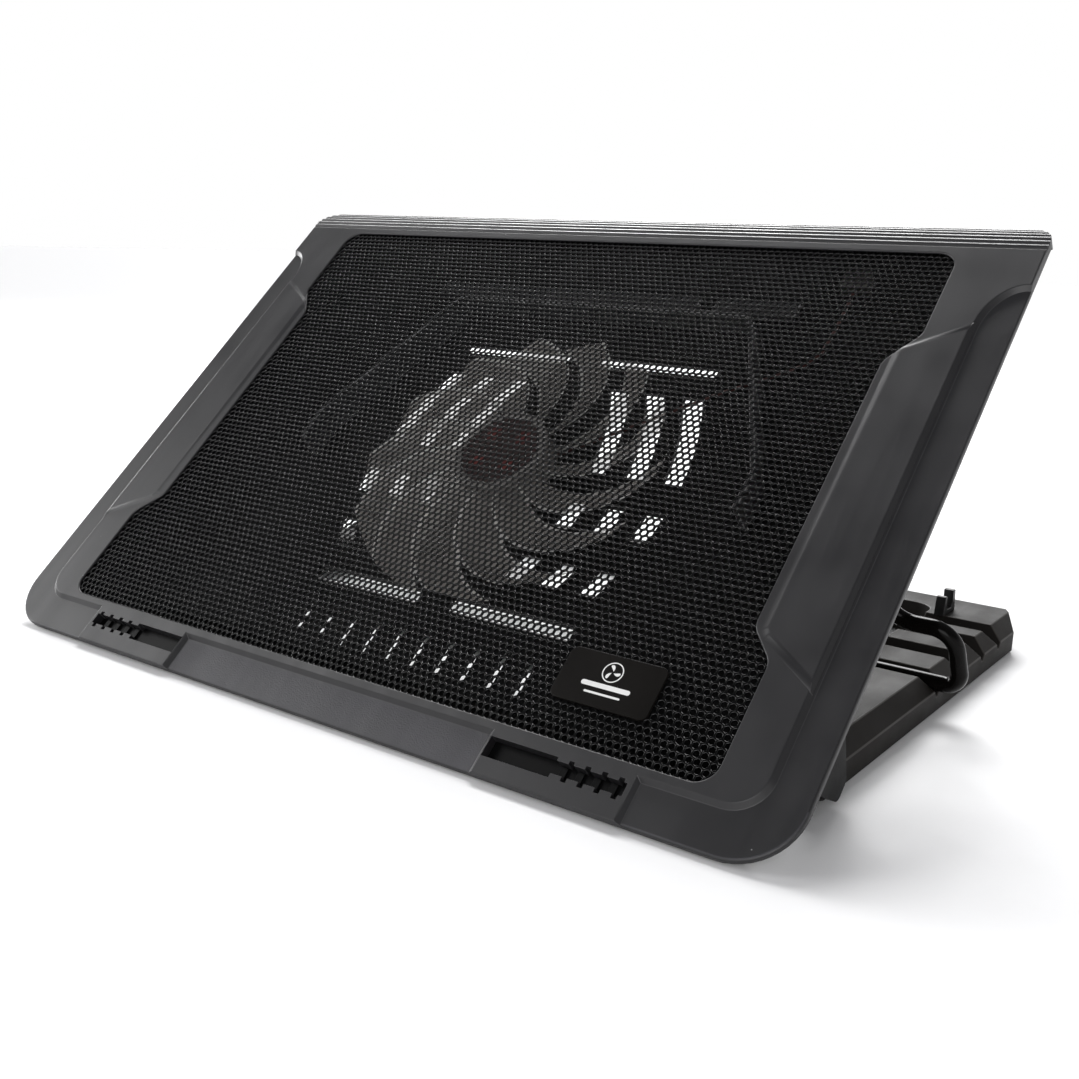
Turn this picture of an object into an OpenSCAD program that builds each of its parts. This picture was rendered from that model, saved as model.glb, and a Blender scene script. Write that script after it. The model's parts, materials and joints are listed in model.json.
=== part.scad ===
// Laptop cooling pad: a tilting fan panel on a ring-shaped base, held up by a wire bail.
// Millimetres, +Z up. The origin is at the bottom centre of the whole object.
// The panel is drawn flat in its own frame (x right, y to the rear, z out of its top face,
// with the middle of its front edge at the origin) and in_panel() lays it on the slope.

/* [Panel] */
// Width of the panel
panel_w = 380; // [378:1:384]
// Length of the panel along its slope
panel_l = 275; // [274.8:0.2:277]
// Tilt of the panel in its steepest setting, degrees
tilt = 42.1; // [41.8:0.1:42.3]
// Height of the panel's front edge above the table
front_lift = 3.5; // [3.3:0.1:4]
// Depth of the closed tub under the top plane
tub_depth = 31; // [30.5:0.5:31.5]
// Thickness of the moulded walls
wall = 2; // [1.8:0.1:2.2]
// Step from the top plane down to the band around it
band_step = 1.8; // [1.4:0.1:2]

/* [Mesh and fan] */
// Thickness of the metal mesh
mesh_t = 0.8; // [0.6:0.1:1]
// Diameter over the fan blades
fan_d = 140; // [130:1:141]
// Number of fan blades
blades = 13; // [7:1:13]
// Distance of the fan's axis from the panel's front edge
fan_y = 141; // [139:1:143]
// Diameter of the fan's hub
hub_d = 42.7; // [40:0.1:44]

/* [Base] */
// Width of the base
base_w = 352.8; // [352:0.2:353.6]
// Height of the base's top, feet included
base_top = 15.7; // [15.5:0.1:15.8]
// Height of the rubber feet below the base
foot_h = 1; // [0.8:0.1:1.2]
// Depth of the four grooves
groove_depth = 8.3; // [8.1:0.1:8.4]

/* [Wire bail] */
// Diameter of the bail's wire
wire_d = 6.4; // [6.2:0.1:6.5]
// Half width of the bail over the middle of its wire
bail_x = 185.2; // [184.8:0.1:185.6]

/* [Hidden] */
$fn = 64;

y_mid = 140.5;          // from the panel's front edge to the middle of the whole object
eps = 0.01;             // overlap that makes a clean cut
half_w = panel_w / 2;
shell_t = 4;            // thickness of the top frame at its top plane
flange_t = 2;           // rim of the bottom cover, under the top frame
front_r = 22;           // corner radii of the panel's outline
rear_r = 13;
crease_x = 176;         // where the top plane steps down to the side bands
pad_rise = 0.75;        // side pads above the top plane
mesh_drop = 0.85;       // mesh below the top plane
mesh_rim = 3.6;         // hidden rim of the mesh, inside the frame's rebate
mesh_x = 159.1;         // half width of the mesh opening at its ends
waist_x = 149.1;        // and at its waist
mesh_y = [19.7, 65.4, 76.8, 196.6, 211.2, 254.6];  // its corners along the panel
roll_y = 258.7;         // where the ribbed rear roll starts
roll_r = 28;            // its radius
ribs = 6;
rib_step = 5.7;         // degrees of the roll that a rib takes
rib_depth = 0.75;
rib_points = 6;         // points along a rib's profile
lip_z = -9.5;           // lower end of the roll
sweep_y = [217, 239];   // where the top plane sweeps out from its side crease to the full width
plate_x = [78.5, 135.5];  // the two plates that carry the slots to the front edge
flange_end = 263.5;     // rear end of the cover's rim, in front of the roll's lip
slot_x = [79.5, 106.8, 133.5];   // inner end, change of width and outer end of a front slot
slot_y = [6.7, 8.3, 12.9, 14.2]; // wide slot's edges outside, narrow slot's edges inside
notch_pitch = 6.3;
rack_t = 1.2;           // rack plate under a front slot

hinge_y = 60.5;         // hinge axis in the object's frame, y from the panel's front edge
hinge_z = 8.5;
pin_r = 3;
ear_t = 4;
ear_skin = 1;           // closed outer skin of the ear, over the pin's end
ear_x = base_w / 2 + 0.5;

pivot_y = 160.8;        // bail pivot in the panel's frame
pivot_z = -28;
bar_y = 165.4;          // bail's crossbar in the object's frame
bar_z = 12.86;
wire_r = wire_d / 2;

rail_in = 141;          // inner faces of the base's side rails
strip_y = [105, 133];   // low cross strip between the rails
side_h = 9.9;           // side wall under the rails' chamfer
base_rear = 281;
bridge_y = 263.4;
groove_y = [165.4, 196, 221.6, 243.9];
groove_half = 6.15;
groove_flat = 0.8;
foot_spots = [[160, 82], [160, 272]];
catch_y = 255.4;        // middle of the catches, where the folded bail's crossbar comes to lie
catch_x = [145.4, 149.8];

tub_y = [8, 36, 226, 262];   // tub's rim and floor along the panel
tub_x = [180, 132];          // tub's rim and floor across the panel
rim_z = -shell_t - flange_t;
floor_z = -tub_depth;
vent_r = 124;                // outer radius of the curved vents, all three alike
vent_w = 8.6;
vent_x = [43, 61, 79];       // where the vents' outer edges pass the fan's axis
vent_rows = [[88, 102.5], [118, 132.5], [148, 193.5]];
slit_x = [8, 67.5];          // straight vents in front of the fan and behind it
slit_y = [[69.3, 75.7], [206, 211]];
dash_x = [6.45, 19.35, 32.25, 45.15, 58.05];  // short vents at the front
dash_y = [42.5, 59];
dash_w = 3.2;
screw_spots = [[184.3, 20], [184.3, 112], [184.3, 185], [184.3, 252]];
screw_r = 1.2;               // every screw's thread, and the holes are a little wider
hole_r = 1.3;

shroud_t = 2;           // wall of the shroud that stands round the fan, open to the front
shroud_top = -15;
shroud_half = [[114, 132], [114, 150], [78, 231]];  // its outer corners on the right
shelf_x = [[-92, 51], [59, 97]];                    // shelves behind its rear wall
shelf_w = 7;
lead_gap = [84, 202];   // gap in the wall for the fan's lead
blade_z = [-26.5, -16.5];
blade_t = 1.1;
blade_n = 8;            // steps along a blade
blade_s = [-1, -0.5, 0, 0.5, 1];  // and across it
sweep = 33;             // degrees that a blade's tip runs ahead of its root
hub_z = -13.5;          // top of the hub
hub_wall = 1.8;
cap_r = 17.7;
shaft_r = 1.5;
motor_r = 10;           // circle of the motor's three screws
motor_turns = [90, 210, 330];
inlet_x = 118;
lead_r = 0.7;
lead_z = floor_z + wall + lead_r + 0.05;
lead_sides = 8;

clip_x = 147.75;        // middle of a bail clip, and its screws' distance from the pivot
clip_screw = 11;
clip_half = 3.15;
clip_low = -33;
pin_in = 144.9;         // inner ends of the bail's pivot pins
wire_sides = 16;

// ---- small geometry helpers ----

// points of an arc, angles in degrees
function arc(cx, cy, r, a0, a1, n = 8) =
    [for (i = [0 : n]) let (a = a0 + (a1 - a0) * i / n) [cx + r * cos(a), cy + r * sin(a)]];

// unit vector from one point to another
function dir(a, b) = (b - a) / norm(b - a);

// closed outline with every corner rounded to its own radius, corners given as [x, y, r]
function rounded(pts, n = 6) = [
    for (i = [0 : len(pts) - 1])
        let (p = [pts[i].x, pts[i].y],
             q = pts[(i + len(pts) - 1) % len(pts)], s = pts[(i + 1) % len(pts)],
             u = dir(p, [q.x, q.y]), v = dir(p, [s.x, s.y]),
             half = acos(max(-1, min(1, u * v))) / 2,
             r = pts[i].z)
        if (r == 0) p
        else let (c = p + (u + v) / norm(u + v) * r / sin(half),
                  a0 = atan2(p.y + u.y * r / tan(half) - c.y, p.x + u.x * r / tan(half) - c.x),
                  a1 = atan2(p.y + v.y * r / tan(half) - c.y, p.x + v.x * r / tan(half) - c.x),
                  turn = a1 - a0 > 180 ? a1 - a0 - 360 : a1 - a0 < -180 ? a1 - a0 + 360 : a1 - a0)
            each [for (k = [0 : n]) let (a = a0 + turn * k / n) c + r * [cos(a), sin(a)]]
];

// the other half of an outline that is the same on both sides
function both(half) = concat(half, [for (i = [len(half) - 1 : -1 : 0])
    [-half[i].x, each [for (k = [1 : len(half[i]) - 1]) half[i][k]]]]);

module in_panel() translate([0, -y_mid, front_lift]) rotate([tilt, 0, 0]) children();
module in_world() translate([0, -y_mid, 0]) children();
module prism(pts, z0, z1) translate([0, 0, z0]) linear_extrude(z1 - z0) polygon(pts);
// prism along x of an outline given as [y, z]
module bar_x(pts, x0, x1)
    translate([x0, 0, 0]) rotate([90, 0, 90]) linear_extrude(x1 - x0) polygon(pts);
// prism along y of an outline given as [x, z]
module bar_y(pts, y0, y1)
    translate([0, y1, 0]) rotate([90, 0, 0]) linear_extrude(y1 - y0) polygon(pts);
module rod_x(r, x0, x1, y, z) translate([x0, y, z]) rotate([0, 90, 0]) cylinder(r = r, h = x1 - x0);
module both_sides() { children(); mirror([1, 0, 0]) children(); }

// hinge axis seen in the panel's frame
hinge_py = hinge_y * cos(tilt) + (hinge_z - front_lift) * sin(tilt);
hinge_pz = -hinge_y * sin(tilt) + (hinge_z - front_lift) * cos(tilt);

// ---- outlines in the panel's frame ----

function panel_outline(m) = rounded(both([
    [half_w - m, m, front_r - m], [half_w - m, panel_l - m, rear_r - min(m, rear_r - 2)]]));

function mesh_outline(m) = rounded(both([
    [mesh_x + m, mesh_y[0] - m, 8], [mesh_x + m, mesh_y[1] + m * 0.3, 8],
    [waist_x + m, mesh_y[2] + m * 0.3, 8], [waist_x + m, mesh_y[3] - m * 0.3, 8],
    [mesh_x + m, mesh_y[4] - m * 0.3, 8], [mesh_x + m, mesh_y[5] + m, 8]]));

// top plane: two plates reach the front edge, and at the rear it sweeps out to full width
swing = [for (a = [0 : 9 : 90])
    [crease_x + (half_w - crease_x) * (1 - cos(a)), sweep_y[0] + (sweep_y[1] - sweep_y[0]) * sin(a)]];
top_outline = both(concat(
    [[plate_x[0], 16], [plate_x[0], 0], [plate_x[1], 0], [plate_x[1], 16]],
    arc(crease_x - 12, 28, 12, -90, 0, 6), swing,
    [[half_w, roll_y], [0, roll_y]]));

pad_outline = rounded([[crease_x - 0.5, 59, 2], [crease_x - 0.5, 217.6, 2], [153, 202.7, 4], [153, 75, 4]]);

// ---- base ----

// plan of the slab; the ends of its rails are rounded in bar_x() below
base_plan = both([[base_w / 2, hinge_y - 10], [base_w / 2, base_rear - 15],
                  [base_w / 2 - 8.4, base_rear], [0, base_rear]]);
rail_profile = both([[base_w / 2, foot_h], [base_w / 2, side_h],
                     [base_w / 2 - 6.1, base_top], [0, base_top]]);
nose_r = base_top - hinge_z;

module base_frame() {
    color("#45413f") in_world() difference() {
        intersection() {
            bar_y(rail_profile, hinge_y - 12, base_rear + 1);
            prism(base_plan, -1, base_top + 1);
            bar_x(concat([for (i = [0 : 8]) let (a = 262 - i * 20.5)
                             [hinge_y + nose_r * cos(a), hinge_z + nose_r * sin(a)]],
                         [[hinge_y + 3, base_top + 1], [base_rear + 1, base_top + 1],
                          [base_rear + 1, foot_h - 1], [hinge_y + 3, foot_h - 1]]), -half_w, half_w);
        }
        // open bay at the front, window behind it, and the low cross strip between them
        prism(both([[rail_in, hinge_y - 20], [rail_in, strip_y[0]]]), -2, base_top + 2);
        prism(both([[rail_in, strip_y[1]], each arc(rail_in - 9, bridge_y - 9, 9, 0, 90, 6)]),
              -2, base_top + 2);
        prism(both([[rail_in, strip_y[0] - 1], [rail_in, strip_y[1] + 1]]), foot_h + 4, base_top + 2);
        for (y = groove_y) groove_cut(y);
        both_sides() {
            rod_x(pin_r + 0.05, base_w / 2 - 14, base_w / 2 + 1, hinge_y, hinge_z);
            for (p = foot_spots) translate([p.x, p.y, foot_h - 1]) cylinder(r = 5.1, h = 2.5);
        }
    }
}

module groove_cut(y) {
    slope = (groove_half - groove_flat) / groove_depth;
    bar_x([[y - groove_half - slope, base_top + 1], [y - groove_flat, base_top - groove_depth],
           [y + groove_flat, base_top - groove_depth], [y + groove_half + slope, base_top + 1]],
          -half_w, half_w);
}

module rubber_feet()
    color("#1c1c1c") in_world() both_sides() for (p = foot_spots)
        translate([p.x, p.y, 0]) cylinder(r = 5, h = foot_h + 1.4);

// two snap prongs a side, which hold the folded bail's crossbar
module bail_catches()
    color("#151515") in_world() both_sides()
        bar_x([for (p = [[-7.6, 0], [-6, 8.5], [-3.8, 8.5], [-3.6, 4.6], [-2.8, 2.2], [3.2, 2.2], [4, 4.6],
                         [3.6, 9.8], [6.6, 9.8], [7.8, 0]]) [catch_y + p.x, base_top + p.y]],
              catch_x[0], catch_x[1]);

module hinge_pin(side)
    color("#8d8f92") in_world() mirror([side < 0 ? 1 : 0, 0, 0])
        rod_x(pin_r, base_w / 2 - 13.5, ear_x + ear_t - ear_skin - 0.1, hinge_y, hinge_z);
module hinge_pin_left() hinge_pin(-1);
module hinge_pin_right() hinge_pin(1);

// ---- panel: top side ----

module front_slot() {
    // clear inner half, narrow outer half with notches on both sides
    translate([slot_x[0], slot_y[0], -shell_t - 1]) cube([slot_x[1] - slot_x[0], slot_y[3] - slot_y[0], 8]);
    translate([slot_x[1] - 1, slot_y[1], -shell_t - 1])
        cube([slot_x[2] - slot_x[1] + 1, slot_y[2] - slot_y[1], 8]);
    for (i = [0 : 3])
        translate([slot_x[1] + 4.5 + i * notch_pitch, slot_y[0], -shell_t - 1])
            cube([2, slot_y[3] - slot_y[0], 8]);
}

// rear edge rolls down over rounded ribs
roll_ribs = [for (i = [0 : ribs * rib_points])
    let (q = 2 * (i % rib_points) / rib_points - 1, a = rib_step * i / rib_points,
         r = roll_r - rib_depth * (1 - sqrt(1 - 0.96 * q * q)))
    [roll_y + r * sin(a), -roll_r + r * cos(a)]];
roll_profile = concat([[roll_y - 2, -1]], roll_ribs, [[panel_l - 0.3, -6.5], [panel_l - 0.6, lip_z],
    [panel_l - 2.6, lip_z], [flange_end + 0.5, -shell_t - 1.5], [flange_end + 0.5, -shell_t],
    [roll_y - 2, -shell_t]]);

module top_frame()
    color("#3b3a3e") in_panel() difference() {
        union() {
            prism(top_outline, -shell_t + 1, 0);
            intersection() {
                prism(panel_outline(0), -shell_t, -band_step);
                translate([-half_w, 0, -shell_t]) cube([panel_w, roll_y, shell_t]);
            }
            intersection() {
                bar_x(roll_profile, -half_w, half_w);
                prism(panel_outline(0), -20, 10);
            }
            both_sides() prism(pad_outline, -1, pad_rise);
        }
        prism(mesh_outline(0), -shell_t - 1, 2);
        prism(mesh_outline(mesh_rim + 0.2), -shell_t - 1, -mesh_drop);
        both_sides() front_slot();
        both_sides() for (p = screw_spots)
            translate([p.x, p.y, -shell_t - eps]) cylinder(r = hole_r, h = 1.6);
    }

module mesh_grille()
    color("#1a1a1c") in_panel() prism(mesh_outline(mesh_rim), -mesh_drop - mesh_t, -mesh_drop);

module label_plate()
    color("#0d0d0e") in_panel() translate([110, 44.3, 0])
        prism(rounded([[-19, -10.2, 3], [19, -10.2, 3], [19, 10.2, 3], [-19, 10.2, 3]]), -mesh_drop, 0);

// toothed rack under each front slot, for a stop that hooks over the laptop's edge
module stop_rack(side)
    color("#101012") in_panel() mirror([side < 0 ? 1 : 0, 0, 0]) {
        translate([slot_x[0] - 1, slot_y[0] - 0.8, -shell_t - rack_t])
            cube([slot_x[2] - slot_x[0] + 2, slot_y[3] - slot_y[0] + 1.6, rack_t]);
        for (i = [0 : 3])
            translate([slot_x[1] + 1 + i * notch_pitch, slot_y[1] + 0.3, -shell_t - eps])
                cube([2.6, slot_y[2] - slot_y[1] - 0.6, 1.1]);
    }
module stop_rack_left() stop_rack(-1);
module stop_rack_right() stop_rack(1);

// ---- panel: bottom cover ----

// outline along and across the tub, m in from its outer face
module tub(m, top) intersection() {
    bar_x([[tub_y[0] + m, rim_z], [tub_y[0] + m, top], [tub_y[3] - m, top], [tub_y[3] - m, rim_z],
           [tub_y[2] - m * 0.6, floor_z + m], [tub_y[1] + m * 0.6, floor_z + m]], -half_w, half_w);
    bar_y([[tub_x[0] - m, top], [tub_x[0] - m, rim_z], [tub_x[1] - m * 0.6, floor_z + m],
           [-tub_x[1] + m * 0.6, floor_z + m], [-tub_x[0] + m, rim_z], [-tub_x[0] + m, top]], 0, panel_l);
}

// curved vents beside the fan: three on each side, split by two cross ribs
module arc_vents()
    for (x = vent_x) intersection() {
        translate([x - vent_r, fan_y, floor_z - 1]) difference() {
            cylinder(r = vent_r, h = wall + 2, $fn = 180);
            translate([0, 0, -1]) cylinder(r = vent_r - vent_w, h = wall + 4, $fn = 180);
        }
        for (y = vent_rows) translate([10, y[0], floor_z - 1]) cube([80, y[1] - y[0], wall + 2]);
    }

module vents() {
    both_sides() {
        arc_vents();
        for (y = slit_y) translate([slit_x[0], y[0], floor_z - 1])
            cube([slit_x[1] - slit_x[0], y[1] - y[0], wall + 2]);
        for (x = dash_x) translate([x - dash_w / 2, dash_y[0], floor_z - 1])
            cube([dash_w, dash_y[1] - dash_y[0], wall + 2]);
    }
}

// ear that hangs from the rim and narrows to a rounded tip at the hinge
module ear()
    bar_x(rounded([[hinge_py - 16, rim_z + 0.5, 0], [hinge_py - 9.6, hinge_pz + 8.5, 0],
                   [hinge_py - 4.2, hinge_pz - 5.4, 3.5], [hinge_py + 4, hinge_pz - 5.4, 3.5],
                   [hinge_py + 11.4, hinge_pz + 8.8, 0], [hinge_py + 22, rim_z + 0.5, 0]]),
          ear_x, ear_x + ear_t);

module bottom_cover()
    color("#3f3d3f") in_panel() difference() {
        union() {
            difference() {
                union() {
                    intersection() {
                        prism(panel_outline(2.5), rim_z, -shell_t);
                        translate([-half_w, 0, rim_z - 1]) cube([panel_w, flange_end, 5]);
                    }
                    tub(0, rim_z + eps);
                    both_sides() ear();
                }
                tub(wall, 1);
                vents();
                both_sides() translate([slot_x[0] - 1.3, slot_y[0] - 1.1, -shell_t - rack_t - 0.1])
                    cube([slot_x[2] - slot_x[0] + 2.6, slot_y[3] - slot_y[0] + 2.2, rack_t + 1]);
            }
            // boss under the motor
            translate([0, fan_y, floor_z + wall - eps]) cylinder(r = 14, h = 1 + eps);
        }
        both_sides() {
            rod_x(pin_r + 0.06, ear_x - 1, ear_x + ear_t - ear_skin, hinge_py, hinge_pz);
            for (p = screw_spots) translate([p.x, p.y, rim_z - 1]) cylinder(r = hole_r, h = 10);
            for (s = [-1, 1])
                translate([clip_x, pivot_y + s * clip_screw, clip_low - 1]) cylinder(r = hole_r, h = 14);
        }
        for (a = motor_turns) rotate_about_fan(a)
            translate([motor_r, 0, floor_z - 1]) cylinder(r = hole_r, h = 6);
        translate([inlet_x - 6.2, tub_y[3] - 24, rim_z - 9.4]) cube([12.4, 40, 5.4]);
    }

module rotate_about_fan(a) translate([0, fan_y, 0]) rotate([0, 0, a]) children();

module cover_screws()
    color("#77797c") in_panel() both_sides() for (p = screw_spots) translate([p.x, p.y, 0]) {
        translate([0, 0, rim_z - 1.4]) cylinder(r = 2.4, h = 1.4);
        translate([0, 0, rim_z - eps]) cylinder(r = screw_r, h = flange_t + 1.3);
    }

// ---- panel: fan and wiring ----

// walls beside the fan and behind it, with shelves at the rear; they follow the tub's inside
module fan_shroud()
    color("#2d2c2e") in_panel() difference() {
        intersection() {
            tub(wall, 0);
            union() {
                difference() {
                    prism(both(shroud_half), floor_z, shroud_top);
                    prism(both([[shroud_half[0].x - shroud_t, shroud_half[0].y - 1],
                                [shroud_half[1].x - shroud_t, shroud_half[1].y - 0.4],
                                [shroud_half[2].x - 1.3, shroud_half[2].y - shroud_t]]),
                          floor_z - 1, shroud_top + 1);
                }
                for (x = shelf_x) translate([x[0], shroud_half[2].y - 1, shroud_top - shroud_t])
                    cube([x[1] - x[0], shelf_w + 1, shroud_t]);
            }
        }
        translate([lead_gap.x, lead_gap.y, floor_z + wall - 1]) cube([10, 8, 3.6]);
    }

module motor_board()
    color("#2c5a3a") in_panel() translate([0, fan_y, floor_z + wall + 1]) difference() {
        cylinder(r = 13.5, h = 1);
        translate([0, 0, -1]) cylinder(r = 3.05, h = 3);
        for (a = motor_turns) rotate([0, 0, a]) translate([motor_r, 0, -1]) cylinder(r = hole_r, h = 3);
    }

module motor_stator()
    color("#7c4a2a") in_panel() translate([0, fan_y, floor_z + wall + 2.9]) difference() {
        union() {
            cylinder(r = 6, h = 6.4);
            for (a = [0 : 90 : 270]) rotate([0, 0, a + 45]) {
                translate([4, -2.6, 0.6]) cube([8, 5.2, 5.2]);
                intersection() {
                    difference() {
                        cylinder(r = 14, h = 6.4);
                        translate([0, 0, -1]) cylinder(r = 11.8, h = 9);
                    }
                    translate([8, -6.5, 0]) cube([8, 13, 6.4]);
                }
            }
        }
        translate([0, 0, -1]) cylinder(r = 3.05, h = 9);
    }

module bearing_sleeve()
    color("#b08d4c") in_panel() translate([0, fan_y, floor_z + wall + 1]) difference() {
        cylinder(r = 3, h = 9.4);
        translate([0, 0, 0.8]) cylinder(r = 1.53, h = 12);
    }

// four LEDs on the stator, under the clear part of the hub
module motor_leds()
    color("#c03028") in_panel() translate([0, fan_y, floor_z + wall + 9.3])
        for (a = [0 : 90 : 270]) rotate([0, 0, a + 45]) translate([11.8, -1.5, 0]) cube([2.2, 3, 1]);

module motor_screws()
    color("#8d8f92") in_panel() for (a = motor_turns) rotate_about_fan(a) translate([motor_r, 0, 0]) {
        translate([0, 0, floor_z - 1]) cylinder(r = 2.2, h = 1);
        translate([0, 0, floor_z - eps]) cylinder(r = screw_r, h = wall + 2.3);
    }

// lead from the motor to the inlet, clipped along the tub's floor
lead_path = [
    [12.4, 150.3, lead_z], [15, 152.2, lead_z], [25, 159.7, lead_z], [50, 178.7, lead_z],
    [75, 197.5, lead_z], [92, 208, lead_z], [104, 216, lead_z + 0.5], [110, 222, lead_z + 2.5],
    [114, 230, lead_z + 8], [117, 237, lead_z + 13.2], [118, 241, lead_z + 15], [118, 243.9, lead_z + 15.4]
];
function lead_ring(i) =
    let (n = len(lead_path), a = lead_path[max(i - 1, 0)], b = lead_path[min(i + 1, n - 1)],
         t = dir(a, b), u = dir([0, 0, 0], cross(t, [0, 0, 1])), v = cross(u, t))
    [for (k = [0 : lead_sides - 1]) let (q = 360 * k / lead_sides)
        lead_path[i] + lead_r * (cos(q) * u + sin(q) * v)];
module fan_lead()
    color("#7a2a22") in_panel() polyhedron(
        points = [for (i = [0 : len(lead_path) - 1]) each lead_ring(i)],
        faces = concat(
            [[for (k = [0 : lead_sides - 1]) k]],
            [for (i = [0 : len(lead_path) - 2]) for (k = [0 : lead_sides - 1])
                let (j = (k + 1) % lead_sides, p = i * lead_sides)
                [p + k, p + lead_sides + k, p + lead_sides + j, p + j]],
            [[for (k = [lead_sides - 1 : -1 : 0]) (len(lead_path) - 1) * lead_sides + k]]));

// USB-A style socket in the rear wall
module power_inlet()
    color("#9a9ca0") in_panel() translate([inlet_x, 0, rim_z - 6.7]) difference() {
        translate([-6, tub_y[3] - 18, -2.6]) cube([12, 12, 5.2]);
        translate([-5.4, tub_y[3] - 16, -2]) cube([10.8, 12, 4]);
    }

// blade: a curved sheet that leans, swept from the hub to its tip
function blade_mid(t) = let (r = hub_d / 2 - 0.6 + (fan_d / 2 - hub_d / 2 + 0.6) * t) [r, sweep * t * t];
function blade_half(t) = 15 - 4 * t;
function blade_pt(t, s, up) =
    let (m = blade_mid(t), a = m.y + s * blade_half(t),
         rise = (blade_z[1] - blade_z[0]) / 2 * (1 - 0.12 * t),
         z = (blade_z[0] + blade_z[1]) / 2 - s * rise - 0.8 * (1 - s * s))
    [m.x * cos(a), m.x * sin(a), z + (up ? blade_t / 2 : -blade_t / 2)];
module blade() {
    m = len(blade_s);
    top = [for (i = [0 : blade_n]) for (s = blade_s) blade_pt(i / blade_n, s, true)];
    low = [for (i = [0 : blade_n]) for (s = blade_s) blade_pt(i / blade_n, s, false)];
    c = len(top);
    polyhedron(points = concat(top, low), faces = concat(
        [for (i = [0 : blade_n - 1]) for (j = [0 : m - 2]) let (p = i * m + j)
            each [[p, p + 1, p + m], [p + 1, p + m + 1, p + m]]],
        [for (i = [0 : blade_n - 1]) for (j = [0 : m - 2]) let (p = c + i * m + j)
            each [[p, p + m, p + 1], [p + 1, p + m, p + m + 1]]],
        [for (i = [0 : blade_n - 1]) let (p = i * m) each [[p, p + m, c + p], [p + m, c + p + m, c + p]]],
        [for (i = [0 : blade_n - 1]) let (p = i * m + m - 1)
            each [[p, c + p, p + m], [p + m, c + p, c + p + m]]],
        [for (j = [0 : m - 2]) each [[j, c + j, j + 1], [j + 1, c + j, c + j + 1]]],
        [for (j = [0 : m - 2]) let (p = blade_n * m + j)
            each [[p, p + 1, c + p], [p + 1, c + p + 1, c + p]]]));
}

module fan_rotor()
    color("#77736c") in_panel() translate([0, fan_y, 0]) {
        for (i = [0 : blades - 1]) rotate([0, 0, i * 360 / blades]) blade();
        difference() {
            translate([0, 0, blade_z[0] + 0.4]) cylinder(d = hub_d, h = hub_z - blade_z[0] - 0.4);
            translate([0, 0, blade_z[0]]) cylinder(d = hub_d - 2 * hub_wall, h = hub_z - blade_z[0] - 2.2);
            translate([0, 0, hub_z - 1.2]) cylinder(r = cap_r + 0.05, h = 3);
            translate([0, 0, hub_z - 5]) cylinder(r = shaft_r, h = 9);
        }
    }

module hub_cap()
    color("#4a1a1c") in_panel() translate([0, fan_y, hub_z - 1.2]) cylinder(r = cap_r, h = 1.1);

module rotor_magnet()
    color("#3a3a3a") in_panel() translate([0, fan_y, blade_z[0] + 1]) difference() {
        cylinder(r = hub_d / 2 - hub_wall, h = 8.4);
        translate([0, 0, -1]) cylinder(r = 15.4, h = 12);
    }

module fan_shaft()
    color("#b9bbbe") in_panel() translate([0, fan_y, floor_z + wall + 2])
        cylinder(r = shaft_r, h = hub_z - 1.2 - (floor_z + wall + 2));

// ---- bail ----

// slope of the tub's side, z at a given x
function slope_z(x) = floor_z + (x - tub_x[1]) / (tub_x[0] - tub_x[1]) * (rim_z - floor_z);

module bail_clip(side)
    color("#1d1d1f") in_panel() mirror([side < 0 ? 1 : 0, 0, 0]) difference() {
        bar_y([[clip_x - clip_half, clip_low], [clip_x + clip_half, clip_low],
               [clip_x + clip_half, slope_z(clip_x + clip_half)],
               [clip_x - clip_half, slope_z(clip_x - clip_half)]], pivot_y - 15, pivot_y + 15);
        rod_x(wire_r + 0.08, clip_x - 5, clip_x + 5, pivot_y, pivot_z);
        for (s = [-1, 1])
            translate([clip_x, pivot_y + s * clip_screw, clip_low - 1]) cylinder(r = hole_r, h = 20);
    }
module bail_clip_left() bail_clip(-1);
module bail_clip_right() bail_clip(1);

module clip_screws()
    color("#8d8f92") in_panel() both_sides() for (s = [-1, 1])
        translate([clip_x, pivot_y + s * clip_screw, 0]) {
            translate([0, 0, clip_low - 1]) cylinder(r = 2.2, h = 1);
            translate([0, 0, clip_low - eps]) cylinder(r = screw_r, h = 10);
        }

// bail pivot in the object's frame, and the frame of the bail's own plane:
// x across, y up the leg from the crossbar
pivot_w = [pivot_y * cos(tilt) - pivot_z * sin(tilt), pivot_y * sin(tilt) + pivot_z * cos(tilt) + front_lift];
leg = norm([bar_y - pivot_w.x, bar_z - pivot_w.y]);
lean = atan2(pivot_w.y - bar_z, pivot_w.x - bar_y);
module in_bail() translate([0, bar_y - y_mid, bar_z]) rotate([lean, 0, 0]) children();

// half of the bail from its middle to its pivot pin: [x, up the leg, bend radius]
bail_half = [[0, 0, 0], [bail_x, 0, 6.2], [bail_x - 2.1, 25.4, 10], [154.4, 25.5, 14],
             [154.4, leg, 3.4], [pin_in, leg, 0]];
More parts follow.
